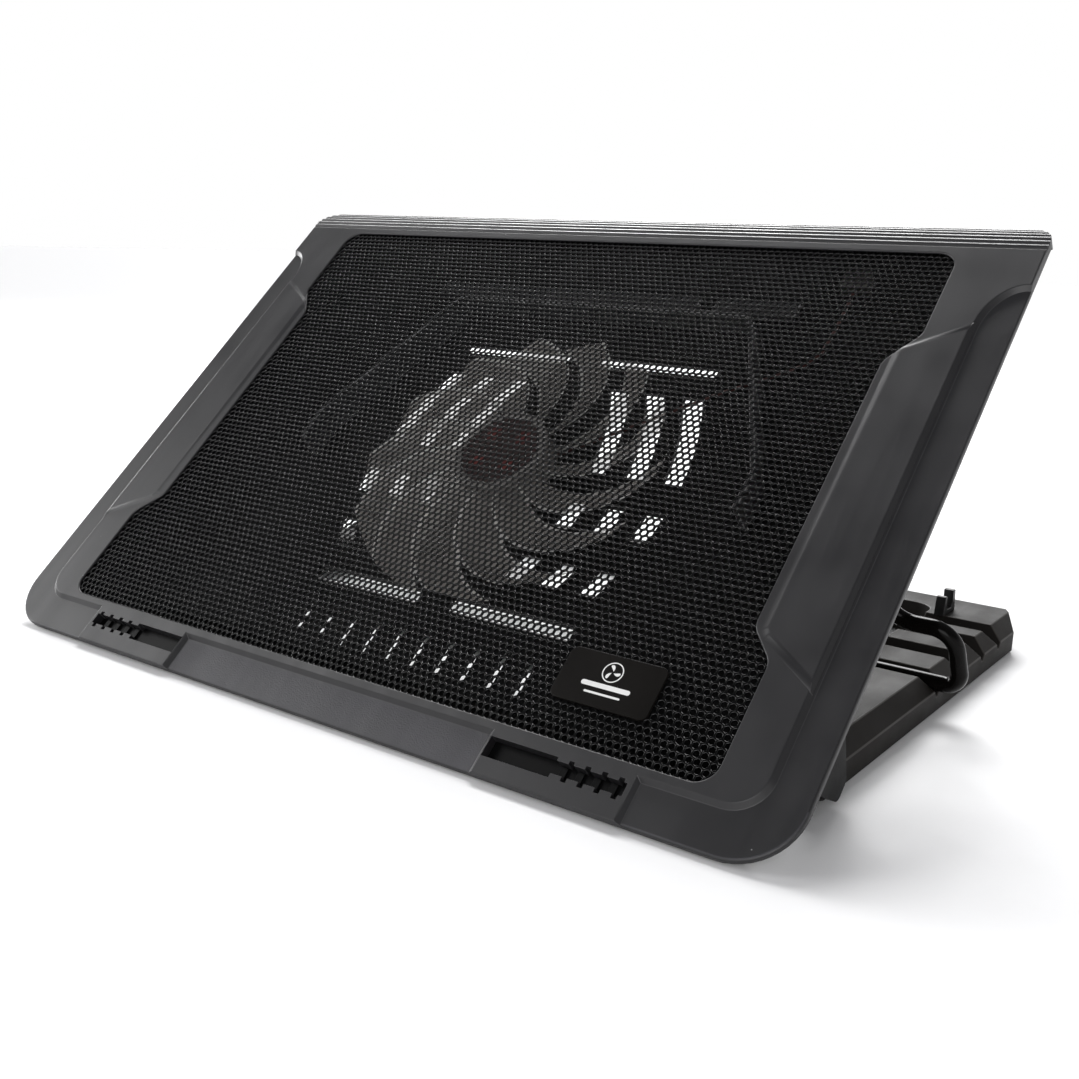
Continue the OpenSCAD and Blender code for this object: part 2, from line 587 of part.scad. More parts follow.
// centre line with its bends, as points [x, up the leg]
wire_line = [for (i = [1 : len(bail_half) - 2])
    let (p = [bail_half[i].x, bail_half[i].y], q = [bail_half[i - 1].x, bail_half[i - 1].y],
         s = [bail_half[i + 1].x, bail_half[i + 1].y], u = dir(p, q), v = dir(p, s),
         half = acos(u * v) / 2, r = bail_half[i].z, c = p + (u + v) / norm(u + v) * r / sin(half),
         d0 = p + u * r / tan(half) - c, d1 = p + v * r / tan(half) - c,
         a0 = atan2(d0.y, d0.x), a1 = atan2(d1.y, d1.x),
         turn = a1 - a0 > 180 ? a1 - a0 - 360 : a1 - a0 < -180 ? a1 - a0 + 360 : a1 - a0)
    each [for (k = [0 : 7]) let (a = a0 + turn * k / 7) c + r * [cos(a), sin(a)]]];
wire_end = [pin_in, leg];
wire_full = concat([[-wire_end.x, wire_end.y]],
    [for (i = [len(wire_line) - 1 : -1 : 0]) [-wire_line[i].x, wire_line[i].y]], wire_line, [wire_end]);
function wire_ring(i) =
    let (n = len(wire_full), a = wire_full[max(i - 1, 0)], b = wire_full[min(i + 1, n - 1)], t = dir(a, b))
    [for (k = [0 : wire_sides - 1]) let (q = 360 * k / wire_sides)
        [wire_full[i].x - t.y * wire_r * cos(q), wire_full[i].y + t.x * wire_r * cos(q), wire_r * sin(q)]];
module bail_wire()
    color("#0c0c0d") in_bail() {
        n = len(wire_full);
        polyhedron(points = [for (i = [0 : n - 1]) each wire_ring(i)], faces = concat(
            [[for (k = [0 : wire_sides - 1]) k]],
            [for (i = [0 : n - 2]) for (k = [0 : wire_sides - 1])
                let (j = (k + 1) % wire_sides, p = i * wire_sides)
                each [[p + k, p + wire_sides + k, p + j], [p + j, p + wire_sides + k, p + wire_sides + j]]],
            [[for (k = [wire_sides - 1 : -1 : 0]) (n - 1) * wire_sides + k]]));
    }

base_frame();
rubber_feet();
bail_catches();
hinge_pin_left();
hinge_pin_right();
top_frame();
mesh_grille();
label_plate();
stop_rack_left();
stop_rack_right();
bottom_cover();
fan_shroud();
motor_board();
motor_stator();
bearing_sleeve();
motor_leds();
motor_screws();
fan_lead();
power_inlet();
bail_clip_left();
bail_clip_right();
clip_screws();
cover_screws();
fan_rotor();
hub_cap();
rotor_magnet();
fan_shaft();
bail_wire();
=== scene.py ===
"""Looks of the laptop cooling pad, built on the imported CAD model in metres."""

import json
import math
from contextlib import contextmanager

import bmesh
import bpy
import numpy as np
from mathutils import Matrix, Vector


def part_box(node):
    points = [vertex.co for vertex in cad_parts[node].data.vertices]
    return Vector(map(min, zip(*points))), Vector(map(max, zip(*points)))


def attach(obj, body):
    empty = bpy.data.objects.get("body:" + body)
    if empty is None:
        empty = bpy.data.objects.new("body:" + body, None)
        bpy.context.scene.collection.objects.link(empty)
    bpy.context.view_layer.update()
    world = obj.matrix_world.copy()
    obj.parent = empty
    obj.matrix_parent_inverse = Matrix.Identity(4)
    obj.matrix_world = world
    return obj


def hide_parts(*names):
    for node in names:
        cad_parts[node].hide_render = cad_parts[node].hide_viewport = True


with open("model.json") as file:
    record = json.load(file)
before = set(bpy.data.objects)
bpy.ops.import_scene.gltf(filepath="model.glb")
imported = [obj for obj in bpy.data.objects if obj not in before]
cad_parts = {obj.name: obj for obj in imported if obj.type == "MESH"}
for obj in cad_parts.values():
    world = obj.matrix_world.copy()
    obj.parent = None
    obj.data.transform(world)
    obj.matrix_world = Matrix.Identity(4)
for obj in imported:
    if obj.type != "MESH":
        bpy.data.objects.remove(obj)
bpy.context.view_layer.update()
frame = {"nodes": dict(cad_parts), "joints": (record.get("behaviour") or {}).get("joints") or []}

# ---------------------------------------------------------------- frames
# Shapes are written in millimetres in the panel's own frame: x right, y up the slope from the
# front edge, z out of the top plane. The fan's joint gives that frame's place and tilt.

MM = 0.001
FAN_Y = 141.0                            # the fan's axis, up the slope
BLADE_Z = -20.0                          # the blades' middle height, where the fan's joint is
joints = {j["name"]: j for j in frame["joints"]}
spin_axis = Vector(joints["fan_spin"]["axis"])
TILT = math.atan2(-spin_axis.y, spin_axis.z)
METRES = Matrix.Scale(MM, 4)
PANEL = (Matrix.Translation(joints["fan_spin"]["pos_m"]) @ Matrix.Rotation(TILT, 4, "X")
         @ Matrix.Translation((0, -FAN_Y * MM, -BLADE_Z * MM)) @ METRES)
FAN = PANEL @ Matrix.Translation((0, FAN_Y, 0))

# ---------------------------------------------------------------- sizes

HALF_W, LENGTH = 190.0, 275.0            # the panel's outline
FRONT_R, REAR_R = 22.0, 13.0
BAND = -1.8                              # height of the band round the top plane
SHELL_LOW = -4.0                         # underside of the top frame
BAND_GRAIN_Y = 60                        # the coarse grain of the band ends here
CREASE_X = 176.0                         # side edges of the top plane
PLANE_Y, PLANE_R = 16, 12                # its front edge, and the corners beside it
TONGUE_X = (78.5, 135.5)                 # its two tongues that run to the front, round the slots
SWEEP_Y, SWEEP_LENGTH = 217, 22          # where its sides sweep out to the full width
ROLL_Y, ROLL_R = 258.7, 28.0             # where the rear edge begins to roll down
RIBS, RIB_STEP, RIB_DEPTH = 6, 5.7, 0.8  # ribs on the roll, a step in degrees
LIP = ((0.3, -6.5), (0.6, -9.5), (2.6, -9.5))   # rear lip: back from the rear edge, height
HOLLOW_Y, HOLLOW_Z = 264, -5.5           # inside of the rear lip
PAD_X, PAD_R, PAD_RISE = 153, 5, 0.75    # side pads: inner edge, inner corners, height
PAD_OUTER_Y, PAD_INNER_Y = (56.5, 220.8), (75, 202.7)
SLOT_X = (79.5, 106.8, 133.5)            # a front slot: wide part, then narrow part with notches
SLOT_Y = (6.7, 8.3, 12.9, 14.2)
NOTCHES, NOTCH, NOTCH_X = 4, 6.3, (4.5, 6.5)    # their number, step and first one's two sides

MESH_TOP, MESH_T = -0.85, 0.8
MESH_HALF_X = (159.1, 149.1)             # the opening at its ends, and at its waist
MESH_Y = (19.7, 65.4, 76.8, 196.6, 211.2, 254.6)
MESH_R = 8
REBATE = 3.8                             # the sheet's seat reaches this far past the opening
PITCH, ROW = 2.907, 2.62                 # holes: step across, step from row to row
HOLES_Y, HOLE_ROWS, HALF_ROW = 16, 93, 57
SHEET_EDGE = 2.4                         # the last holes' centres, past the opening

LABEL_HALF, LABEL_MID, LABEL_R = (19, 10.2), (110, 44.3), 3
SIGN_Z = (0.005, 0.04)                   # the printed sign, a hair above the plate

HUB_R, TIP_R = 42.7 / 2, 70
HUB_TOP, HUB_LOW = -13.5, -26.1
BLADES = 13

WIRE_R = 3.2
WIRE_ARC = 14                            # steps in each bend
BASE_REAR = 281                          # the base's rear end, from the panel's front edge
CROSSBAR = (165.4, 12.86)                # from the panel's front edge, and above the table
SHANK_R = 1.2                            # every screw's shank


# ---------------------------------------------------------------- outlines

def arc(cx, cy, r, a0, a1, n=8):
    angles = [math.radians(a0 + (a1 - a0) * i / n) for i in range(n + 1)]
    return [(cx + r * math.cos(a), cy + r * math.sin(a)) for a in angles]


def fillet(before, corner, after, r, n):
    """Points of the arc that rounds a corner between its two neighbours."""
    p = Vector(corner)
    u, v = (Vector(before) - p).normalized(), (Vector(after) - p).normalized()
    half = math.acos(max(-1, min(1, u.dot(v)))) / 2
    centre = p + (u + v).normalized() * r / math.sin(half)
    a, b = p + u * r / math.tan(half) - centre, p + v * r / math.tan(half) - centre
    a0, turn = math.atan2(a.y, a.x), a.angle_signed(b)
    return [centre + r * Vector((math.cos(a0 - turn * k / n), math.sin(a0 - turn * k / n)))
            for k in range(n + 1)]


def rounded(corners, n=8):
    """Closed outline from corners (x, y, radius)."""
    out = []
    for i, (x, y, r) in enumerate(corners):
        out += fillet(corners[i - 1][:2], (x, y), corners[(i + 1) % len(corners)][:2], r, n)
    return [tuple(p) for p in out]


def both(half):
    """An outline's right half, with its mirror image added."""
    return list(half) + [(-p[0], *p[1:]) for p in reversed(half)]


def grown(outline, d):
    """A counter-clockwise outline moved outwards by d, each side parallel to itself."""
    pts = [Vector(p) for p in outline]
    out = []
    for i, p in enumerate(pts):
        e0, e1 = p - pts[i - 1], pts[(i + 1) % len(pts)] - p
        n0, n1 = Vector((e0.y, -e0.x)).normalized(), Vector((e1.y, -e1.x)).normalized()
        out.append(tuple(p + (n0 + n1) * d / (1 + n0.dot(n1))))
    return out


def panel_outline(m):
    """The panel's outline, m inside its edge."""
    return rounded(both([(HALF_W - m, m, FRONT_R - m),
                         (HALF_W - m, LENGTH - m, max(REAR_R - m, 1))]), 12)


def mesh_outline(m):
    """The waisted opening over the mesh, m outside its edge."""
    end, waist = (x + m for x in MESH_HALF_X)
    slant = m * 0.3
    y = MESH_Y
    return rounded(both([(end, y[0] - m, MESH_R), (end, y[1] + slant, MESH_R),
                         (waist, y[2] + slant, MESH_R), (waist, y[3] - slant, MESH_R),
                         (end, y[4] - slant, MESH_R), (end, y[5] + m, MESH_R)]))


# ---------------------------------------------------------------- mesh code

def linked(name, data):
    """A new object with this mesh, light or camera, in the scene."""
    obj = bpy.data.objects.new(name, data)
    bpy.context.collection.objects.link(obj)
    return obj


def new_object(name, verts, faces):
    mesh = bpy.data.meshes.new(name)
    mesh.from_pydata([tuple(v) for v in verts], [], faces)
    mesh.update()
    return linked(name, mesh)


def loft(name, levels):
    """Closed solid through outlines that have as many points each, levels as (outline, z)."""
    n = len(levels[0][0])
    verts = [(x, y, z) for outline, z in levels for x, y in outline]
    faces = [list(range(n - 1, -1, -1)), [(len(levels) - 1) * n + i for i in range(n)]]
    for k in range(len(levels) - 1):
        a, b = k * n, (k + 1) * n
        faces += [[a + i, a + (i + 1) % n, b + (i + 1) % n, b + i] for i in range(n)]
    return new_object(name, verts, faces)


def stacked(name, outline, levels):
    """Loft through outline(offset) at each height, levels as (offset, z)."""
    return loft(name, [(outline(offset), z) for offset, z in levels])


def block(name, x0, x1, y0, y1, z0, z1):
    return loft(name, [([(x0, y0), (x1, y0), (x1, y1), (x0, y1)], z) for z in (z0, z1)])


def bar_x(name, profile, x0, x1):
    """Solid along x with a (y, z) profile."""
    obj = loft(name, [(profile, x0), (profile, x1)])
    obj.data.transform(Matrix(((0, 0, 1, 0), (1, 0, 0, 0), (0, 1, 0, 0), (0, 0, 0, 1))))
    return obj


def lathe(name, profile, n=96):
    """Solid of revolution about z from points (r, z). It closes at poles (r = 0) or on itself."""
    verts, rings = [], []
    for r, z in profile:
        if r < 1e-6:
            rings.append([len(verts)])
            verts.append((0, 0, z))
        else:
            rings.append(list(range(len(verts), len(verts) + n)))
            turns = [math.tau * k / n for k in range(n)]
            verts += [(r * math.cos(a), r * math.sin(a), z) for a in turns]
    closed = profile[0][0] > 1e-6 and profile[-1][0] > 1e-6
    pairs = list(zip(rings, rings[1:])) + ([(rings[-1], rings[0])] if closed else [])
    faces = []
    for a, b in pairs:
        for k in range(n):
            j = (k + 1) % n
            if len(a) == 1 and len(b) > 1:
                faces.append([a[0], b[j], b[k]])
            elif len(b) == 1 and len(a) > 1:
                faces.append([a[k], a[j], b[0]])
            elif len(a) > 1:
                faces.append([a[k], a[j], b[j], b[k]])
    return new_object(name, verts, faces)


def tube(name, path, radius, sides):
    """Round bar with flat ends along a path of points. Its rings don't twist."""
    pts = [Vector(p) for p in path]
    last = len(pts) - 1
    tangents = [(pts[min(i + 1, last)] - pts[max(i - 1, 0)]).normalized()
                for i in range(len(pts))]
    turns = [math.tau * k / sides for k in range(sides)]
    side = tangents[0].orthogonal().normalized()
    verts, faces = [], []
    for i, (p, t) in enumerate(zip(pts, tangents)):
        side = (side - t * side.dot(t)).normalized()
        up = t.cross(side)
        verts += [p + radius * (math.cos(a) * side + math.sin(a) * up) for a in turns]
        if i:
            a, b = (i - 1) * sides, i * sides
            faces += [[a + k, a + (k + 1) % sides, b + (k + 1) % sides, b + k]
                      for k in range(sides)]
    faces += [list(range(sides - 1, -1, -1)), [len(verts) - sides + k for k in range(sides)]]
    return new_object(name, verts, faces)


def apply_modifiers(obj):
    graph = bpy.context.evaluated_depsgraph_get()
    mesh = bpy.data.meshes.new_from_object(obj.evaluated_get(graph),
                                           preserve_all_data_layers=True, depsgraph=graph)
    old, obj.data = obj.data, mesh
    obj.modifiers.clear()
    bpy.data.meshes.remove(old)


def combine(obj, operation, *tools):
    """Boolean of obj with each tool in turn. The tools are used up."""
    for tool in tools:
        m = obj.modifiers.new("combine", "BOOLEAN")
        m.operation, m.solver, m.object = operation, "EXACT", tool
        apply_modifiers(obj)
        bpy.data.objects.remove(tool)
    return obj


def join(name, parts):
    """One object from several, which are used up."""
    bm = bmesh.new()
    for p in parts:
        bm.from_mesh(p.data)
        bpy.data.objects.remove(p)
    mesh = bpy.data.meshes.new(name)
    bm.to_mesh(mesh)
    bm.free()
    return linked(name, mesh)


def mirrored(obj):
    """A copy of obj on the other side."""
    copy = linked(obj.name, obj.data.copy())
    copy.data.transform(Matrix.Scale(-1, 4, (1, 0, 0)))
    copy.data.flip_normals()
    return copy


@contextmanager
def editing(obj):
    """The object's mesh as a bmesh, which is written back at the end."""
    bm = bmesh.new()
    bm.from_mesh(obj.data)
    yield bm
    bm.to_mesh(obj.data)
    bm.free()


def clean(obj, angle=1.0):
    """Flat areas of a cut or triangulated mesh become single faces again."""
    with editing(obj) as bm:
        bmesh.ops.remove_doubles(bm, verts=bm.verts, dist=0.002)
        bmesh.ops.dissolve_degenerate(bm, dist=0.002, edges=bm.edges)
        bmesh.ops.dissolve_limit(bm, angle_limit=math.radians(angle), verts=bm.verts,
                                 edges=bm.edges)


def split_faces(obj):
    """Cuts large faces into triangles, so that none runs round a hole."""
    with editing(obj) as bm:
        bmesh.ops.triangulate(bm, faces=[f for f in bm.faces if len(f.verts) > 4])


def face_outwards(obj):
    with editing(obj) as bm:
        bmesh.ops.recalc_face_normals(bm, faces=bm.faces)


def soften(obj, width, segments=2, angle=32, painted_edge_highlight=True, clamp=False):
    """Rounds sharp edges. The rounding's narrow faces take the second material, a lighter colour
    that is a painted highlight on the edge.
    """
    m = obj.modifiers.new("round", "BEVEL")
    m.width, m.segments = width, segments
    m.limit_method, m.angle_limit = "ANGLE", math.radians(angle)
    m.use_clamp_overlap = clamp
    m.miter_outer = "MITER_ARC"
    # the rounding's faces take the lighter colour of the painted highlight
    m.material = 1 if painted_edge_highlight else -1
    while len(obj.data.materials) < 2:
        obj.data.materials.append(None)
    apply_modifiers(obj)
    smooth(obj)


def smooth(obj, angle=35):
    """Smooth shading, broken at edges sharper than angle."""
    mesh = obj.data
    mesh.polygons.foreach_set("use_smooth", [True] * len(mesh.polygons))
    mesh.set_sharp_from_angle(angle=math.radians(angle))
    m = obj.modifiers.new("normals", "WEIGHTED_NORMAL")
    m.keep_sharp, m.weight = True, 80
    apply_modifiers(obj)


def from_cad(name, node):
    """A copy of a CAD node's mesh, in millimetres, with its flat faces whole."""
    mesh = frame["nodes"][node].data.copy()
    mesh.materials.clear()
    mesh.transform(Matrix.Scale(1 / MM, 4))
    obj = linked(name, mesh)
    clean(obj)
    return obj


def finish_piece(obj, body, materials, nodes, place):
    """Puts a piece in its place in metres, dresses it and makes it ride."""
    obj.data.transform(place)
    old = [0] * len(obj.data.polygons)
    obj.data.polygons.foreach_get("material_index", old)
    obj.data.materials.clear()
    for mat in materials:
        obj.data.materials.append(mat)
    obj.data.polygons.foreach_set("material_index", [min(i, len(materials) - 1) for i in old])
    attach(obj, body)
    if nodes:
        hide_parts(*nodes)


# ---------------------------------------------------------------- materials

CLOUDS, STREAKS, DUST = 45, 9, 55        # texture scales, per metre
CLOUD_GLOSS, GRAIN_GLOSS = 0.12, 0.05    # how far each changes the roughness, as a share of it
STREAKED, BRUSHED = (14, 1, 1), (0.02, 1, 1)    # how their textures are stretched
COAT_ROUGH = 0.08


def surface(name, colour, rough, grain=0.3, bump=0.12, mottle=0.12, streak=0.0, specks=0.0,
            metal=0.0, coat=0.0, alpha=1.0, specular=0.5, brushed=False):
    """A moulded, painted or metal surface: fine grain in relief, cloudy colour and gloss,
    streaks, dust. grain is its size in millimetres. brushed draws it out along x."""
    mat = bpy.data.materials.new(name)
    mat.use_nodes = True
    tree = mat.node_tree
    shader = tree.nodes["Principled BSDF"]

    def node(kind, **props):
        n = tree.nodes.new("ShaderNode" + kind)
        for key, value in props.items():
            setattr(n, key, value)
        return n

    def noise(scale, detail, stretch=None):
        n = node("TexNoise")
        n.inputs["Scale"].default_value = scale
        n.inputs["Detail"].default_value = detail
        source = coord.outputs["Object"]
        if stretch:
            m = node("Mapping")
            m.inputs["Scale"].default_value = stretch
            tree.links.new(source, m.inputs["Vector"])
            source = m.outputs["Vector"]
        tree.links.new(source, n.inputs["Vector"])
        return n.outputs["Fac"]

    def ranged(value, low, high, frm=(0.3, 0.7)):
        n = node("MapRange")
        n.inputs["From Min"].default_value, n.inputs["From Max"].default_value = frm
        n.inputs["To Min"].default_value, n.inputs["To Max"].default_value = low, high
        tree.links.new(value, n.inputs["Value"])
        return n.outputs["Result"]

    def total(a, b):
        n = node("Math", operation="ADD")
        tree.links.new(a, n.inputs[0])
        tree.links.new(b, n.inputs[1])
        return n.outputs[0]

    coord = node("TexCoord")
    cloud = noise(CLOUDS, 4)
    fine = noise(1 / (grain * MM), 2, BRUSHED if brushed else None)

    # colour: two shades of it in clouds, and dust as pale dots
    shades = node("Mix", data_type="RGBA")
    shades.inputs[6].default_value = [c * (1 - mottle) for c in colour] + [1]
    shades.inputs[7].default_value = [min(1, c * (1 + mottle)) for c in colour] + [1]
    tree.links.new(ranged(cloud, 0, 1), shades.inputs[0])
    tint = shades.outputs[2]
    if specks:
        dust = node("TexVoronoi", feature="F1")
        dust.inputs["Scale"].default_value = DUST
        tree.links.new(coord.outputs["Object"], dust.inputs["Vector"])
        dot = ranged(dust.outputs["Distance"], specks, 0, (0.008, 0.016))
        mix = node("Mix", data_type="RGBA")
        mix.inputs[7].default_value = (0.5, 0.5, 0.5, 1)
        tree.links.new(dot, mix.inputs[0])
        tree.links.new(tint, mix.inputs[6])
        tint = mix.outputs[2]
    tree.links.new(tint, shader.inputs["Base Color"])

    gloss = total(ranged(cloud, rough * (1 - CLOUD_GLOSS), rough * (1 + CLOUD_GLOSS)),
                  ranged(fine, -GRAIN_GLOSS * rough, GRAIN_GLOSS * rough))
    if streak:
        gloss = total(gloss, ranged(noise(STREAKS, 3, STREAKED), -streak, streak))
    tree.links.new(gloss, shader.inputs["Roughness"])

    relief = node("Bump")
    relief.inputs["Strength"].default_value = bump
    relief.inputs["Distance"].default_value = grain * MM * 0.5
    tree.links.new(fine, relief.inputs["Height"])
    tree.links.new(relief.outputs["Normal"], shader.inputs["Normal"])

    shader.inputs["Metallic"].default_value = metal
    shader.inputs["Coat Weight"].default_value = coat
    shader.inputs["Coat Roughness"].default_value = COAT_ROUGH
    shader.inputs["Alpha"].default_value = alpha
    shader.inputs["Specular IOR Level"].default_value = specular
    return mat


LED_WINDOWS = (("X", 7.7, 3.8), ("Y", 7.6, 4.0))    # middle and half width along each axis
LED_GLOW, LED_COLOUR = 0.05, (0.9, 0.06, 0.03, 1)


def with_leds(mat):
    """Adds four soft red windows, where the motor's LEDs shine through the hub's cap."""
    tree = mat.node_tree
    shader = tree.nodes["Principled BSDF"]

    def maths(operation, a, b=0):
        """A Math node on the socket a and on b, which is a socket or a number."""
        n = tree.nodes.new("ShaderNodeMath")
        n.operation = operation
        tree.links.new(a, n.inputs[0])
        if isinstance(b, (int, float)):
            n.inputs[1].default_value = b
        else:
            tree.links.new(b, n.inputs[1])
        return n.outputs[0]

    coord, place = tree.nodes.new("ShaderNodeTexCoord"), tree.nodes.new("ShaderNodeMapping")
    place.vector_type = "TEXTURE"
    place.inputs["Location"].default_value = FAN.translation
    place.inputs["Rotation"].default_value = (TILT, 0, 0)
    place.inputs["Scale"].default_value = (MM, MM, MM)
    tree.links.new(coord.outputs["Object"], place.inputs["Vector"])
    split = tree.nodes.new("ShaderNodeSeparateXYZ")
    tree.links.new(place.outputs["Vector"], split.inputs[0])
    windows = []
    for axis, middle, half in LED_WINDOWS:
        from_middle = maths("SUBTRACT", maths("ABSOLUTE", split.outputs[axis]), middle)
        edge = tree.nodes.new("ShaderNodeMapRange")
        edge.interpolation_type = "SMOOTHSTEP"
        edge.inputs["From Min"].default_value = half
        edge.inputs["From Max"].default_value = half * 0.35
        tree.links.new(maths("ABSOLUTE", from_middle), edge.inputs["Value"])
        windows.append(edge.outputs["Result"])
    glow = maths("MULTIPLY", maths("MULTIPLY", *windows), LED_GLOW)
    tree.links.new(glow, shader.inputs["Emission Strength"])
    shader.inputs["Emission Color"].default_value = LED_COLOUR
    return mat


M = {
    "shell": surface("shell_plastic", (0.013, 0.0127, 0.0140), 0.40, grain=0.35, bump=0.10,
                     streak=0.05, specks=0.5),
    # the shell's rounded edges: a lighter copy of its plastic, a painted highlight
    "shell_edge": surface("shell_edge_painted_highlight", (0.034, 0.033, 0.035), 0.33, bump=0.05),
    "band": surface("band_plastic", (0.036, 0.035, 0.040), 0.46, grain=0.55, bump=0.55,
                    mottle=0.2, streak=0.05),
    # the cover is darker than the shell's black plastic: painted shade inside the tub under the
    # mesh
    "cover": surface("cover_plastic_painted_shade", (0.0022, 0.0021, 0.0022), 0.45, grain=0.4, bump=0.2,
                     specular=0.08),
    # the cover's rounded edges: a lighter copy of its plastic, a painted highlight
    "cover_edge": surface("cover_edge_painted_highlight", (0.016, 0.0155, 0.0165), 0.4, bump=0.1,
                          specular=0.35),
    "base": surface("base_plastic", (0.0105, 0.0091, 0.0081), 0.58, grain=0.45, bump=0.22,
                    streak=0.04, specks=0.2, specular=0.10),
    # the base's rounded edges: a lighter copy of its plastic, a painted highlight
    "base_edge": surface("base_edge_painted_highlight", (0.030, 0.027, 0.0245), 0.5, bump=0.08,
                         specular=0.15),
    "mesh": surface("mesh_paint", (0.0010, 0.0010, 0.0011), 0.30, grain=0.6, bump=0.08,
                    specular=0.04),
    # the rims and the holes' walls have glossier paint, and their lighter colour is a painted
    # highlight
    "mesh_rim": surface("mesh_rim_gloss_painted_highlight", (0.0025, 0.0025, 0.0028), 0.14, grain=0.6, bump=0.04,
                        coat=0.6, specular=0.32),
    "label": surface("label_gloss", (0.0055, 0.0048, 0.0042), 0.3, grain=1.5, bump=0.02,
                     specular=0.10),
    "ink": surface("label_ink", (0.75, 0.75, 0.74), 0.4, grain=0.2, bump=0.05, mottle=0.04),
    # the racks are darker than the shell's black plastic: painted shade inside the front slots
    "rack": surface("rack_plastic_painted_shade", (0.0022, 0.0022, 0.0024), 0.4, grain=0.4, bump=0.15,
                    specular=0.12),
    "shroud": surface("shroud_plastic", (0.042, 0.041, 0.043), 0.36, grain=0.4, bump=0.15),
    # the shroud's rounded edges are nearly white: a painted highlight along the wall's top edge
    "shroud_edge": surface("shroud_edge_painted_highlight", (0.46, 0.45, 0.46), 0.3, bump=0.08),
    # the blades' light grey is painted light: backlight from the vents, scattered through the
    # smoky plastic
    "blade": surface("blade_smoky_painted_backlight", (0.74, 0.70, 0.66), 0.22, grain=0.8, bump=0.05,
                     alpha=0.36, coat=0.4),
    # the blades' edges are lighter still: a painted highlight
    "blade_edge": surface("blade_edge_painted_highlight", (0.95, 0.92, 0.88), 0.25, grain=0.8, bump=0.05,
                          alpha=0.8, coat=0.4),
    "hub": surface("hub_smoky", (0.42, 0.40, 0.385), 0.22, grain=0.8, bump=0.05, alpha=0.72,
                   coat=0.2),
    "cap": with_leds(surface("cap_tinted", (0.040, 0.014, 0.014), 0.3, grain=0.8, bump=0.04,
                             coat=0.15)),
    "wire": surface("wire_enamel", (0.0032, 0.0028, 0.0026), 0.12, grain=1.2, bump=0.04,
                    specular=0.09),
    "catch": surface("catch_plastic", (0.006, 0.006, 0.006), 0.38, grain=0.4, specular=0.3),
    "clip": surface("clip_plastic", (0.012, 0.012, 0.0125), 0.42, grain=0.4, bump=0.15),
    "feet": surface("foot_rubber", (0.015, 0.015, 0.015), 0.8, bump=0.35),
    "steel": surface("bright_steel", (0.5, 0.5, 0.52), 0.28, grain=0.2, bump=0.05, metal=1.0,
                     brushed=True),
    "pin": surface("pin_steel", (0.42, 0.42, 0.43), 0.33, grain=0.25, bump=0.08, metal=1.0,
                   brushed=True),
    "screw": surface("screw_zinc", (0.36, 0.36, 0.37), 0.32, grain=0.15, bump=0.1, metal=1.0),
    "nickel": surface("socket_nickel", (0.5, 0.49, 0.47), 0.3, grain=0.2, bump=0.06, metal=1.0),
    "brass": surface("sleeve_brass", (0.45, 0.30, 0.11), 0.35, grain=0.2, bump=0.08, metal=1.0),
    "magnet": surface("magnet_ferrite", (0.04, 0.04, 0.042), 0.6, grain=0.25, bump=0.3),
    "winding": surface("winding_copper", (0.42, 0.16, 0.06), 0.38, grain=0.25, bump=0.3,
                       metal=0.9, brushed=True),
    "board": surface("board_green", (0.02, 0.09, 0.045), 0.45, grain=0.5, bump=0.15,
                     mottle=0.3),
    "led": surface("led_red", (0.5, 0.03, 0.02), 0.25, grain=0.4, bump=0.05),
    "lead": surface("lead_pvc", (0.05, 0.012, 0.010), 0.42, bump=0.1),
}


# ---------------------------------------------------------------- top shell

def swept_rear(steps=14):
    """Edge of the top plane where it sweeps out to the panel's full width."""
    angles = [math.pi / 2 * i / steps for i in range(steps + 1)]
    return [(CREASE_X + (HALF_W - CREASE_X) * (1 - math.cos(a)),
             SWEEP_Y + SWEEP_LENGTH * math.sin(a)) for a in angles]


def ribbed_roll(points=10):
    """Profile (y, z) of the rear edge, which rolls down over rounded ribs."""
    out = []
    for i in range(RIBS * points + 1):
        q, a = 2 * (i % points) / points - 1, math.radians(RIB_STEP * i / points)
        r = ROLL_R - RIB_DEPTH * (1 - math.sqrt(1 - 0.97 * q * q))
        out.append((ROLL_Y + r * math.sin(a), -ROLL_R + r * math.cos(a)))
    return out


def top_plane():
    """The raised plane, with two tongues round the slots and rounded edges."""
    edge = both([(TONGUE_X[0], PLANE_Y), (TONGUE_X[0], -1), (TONGUE_X[1], -1),
                 (TONGUE_X[1], PLANE_Y)]
                + arc(CREASE_X - PLANE_R, PLANE_Y + PLANE_R, PLANE_R, -90, 0) + swept_rear()
                + [(HALF_W + 3, 240), (HALF_W + 3, ROLL_Y), (0.01, ROLL_Y)])
    plane = stacked("plane", lambda d: grown(edge, d),
                    [(1.1, SHELL_LOW + 1), (1.1, BAND), (-0.35, -0.28), (-0.9, 0)])
    return combine(plane, "INTERSECT", stacked("limit", panel_outline, [
        (0, -8), (0, -0.7), (0.15, -0.25), (0.6, 0.0), (0.6, 3)]))


def rear_roll():
    profile = ([(ROLL_Y - 2, -1)] + ribbed_roll() + [(LENGTH - back, z) for back, z in LIP]
               + [(HOLLOW_Y, HOLLOW_Z), (HOLLOW_Y, SHELL_LOW), (ROLL_Y - 2, SHELL_LOW)])
    roll = bar_x("roll", profile[::-1], -HALF_W, HALF_W)
    return combine(roll, "INTERSECT", stacked("limit", panel_outline, [(0, -20), (0, 10)]))


